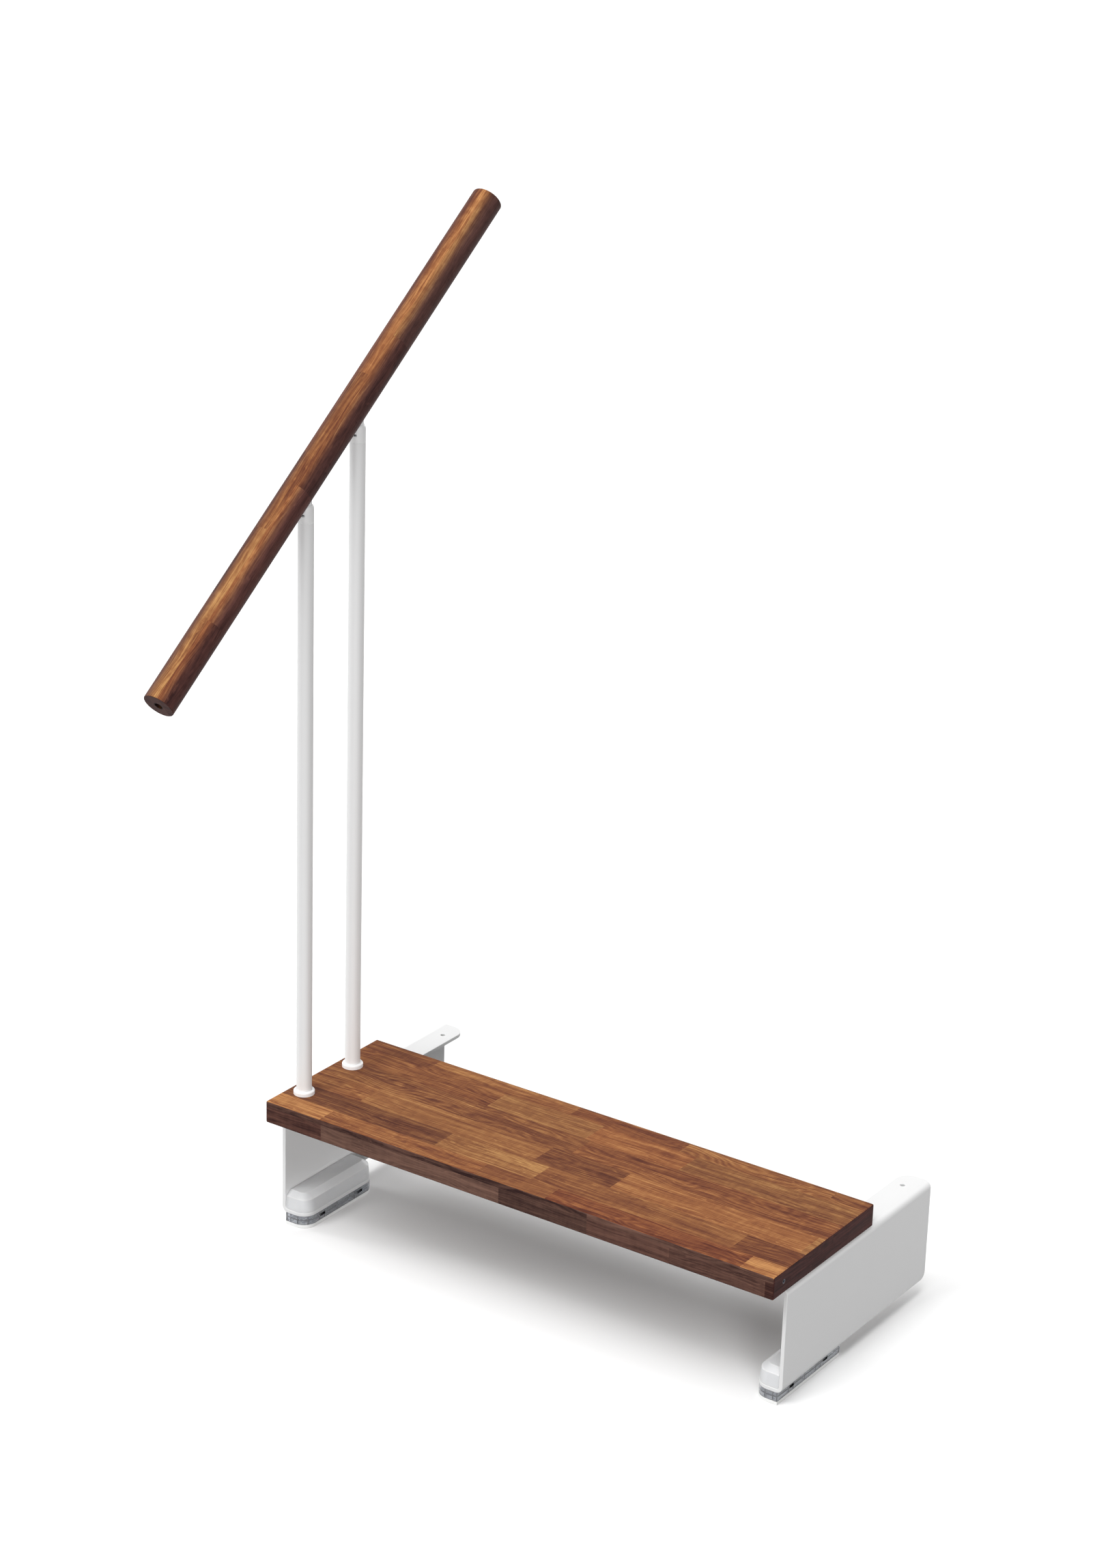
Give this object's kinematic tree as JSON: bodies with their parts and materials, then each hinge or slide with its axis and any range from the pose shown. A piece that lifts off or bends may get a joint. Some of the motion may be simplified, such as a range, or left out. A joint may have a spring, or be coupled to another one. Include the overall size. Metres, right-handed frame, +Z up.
{
  "type": "staircase extension step",
  "caption": "Laminated wooden tread on folded plate brackets with clear ribbed feet, with round balusters and a sloping handrail at its left end, adding a step to a flight of stairs.",
  "frame": {"origin": "on the floor, at the centre of the overall length and depth: below the middle of the tread's length and of the handrail's run", "axes": "+X along the tread to the right, seen from the foot of the stairs; +Y back, up the stairs; +Z up"},
  "size_m": [0.76, 0.6628, 1.3045],
  "materials": {
    "tread_wood": "satin lacquer",
    "rail_wood": "satin lacquer",
    "bracket_steel": "powder coat",
    "tube_steel": "powder coat",
    "white_plastic": "matt",
    "frosted_plastic": "frosted",
    "smoke_plastic": "clear",
    "pad_plastic": "matt",
    "zinc_steel": "zinc plated"
  },
  "bodies": {
    "root": {"tread": "tread_wood", "handrail": "rail_wood", "bracket_left": "bracket_steel", "bracket_right": "bracket_steel", "baluster_tube_front": "tube_steel", "baluster_tube_rear": "tube_steel", "collar_front": "white_plastic", "collar_rear": "white_plastic", "top_cap_front": "white_plastic", "top_cap_rear": "white_plastic", "foot_cover_left": "frosted_plastic", "foot_cover_right": "frosted_plastic", "foot_spacer_left": "smoke_plastic", "foot_spacer_right": "smoke_plastic", "foot_pad_left": "pad_plastic", "foot_pad_right": "pad_plastic", "tread_end_insert": "zinc_steel", "tube_plug_front": "zinc_steel", "tube_plug_rear": "zinc_steel", "baluster_stud_front": "zinc_steel", "baluster_stud_rear": "zinc_steel", "capstan_screw_front": "zinc_steel", "capstan_screw_rear": "zinc_steel", "stud_washers": "zinc_steel", "stud_nuts": "zinc_steel", "bolt_washers": "zinc_steel", "tread_bolts": "zinc_steel", "tread_inserts": "zinc_steel"}
  },
  "joints": []
}
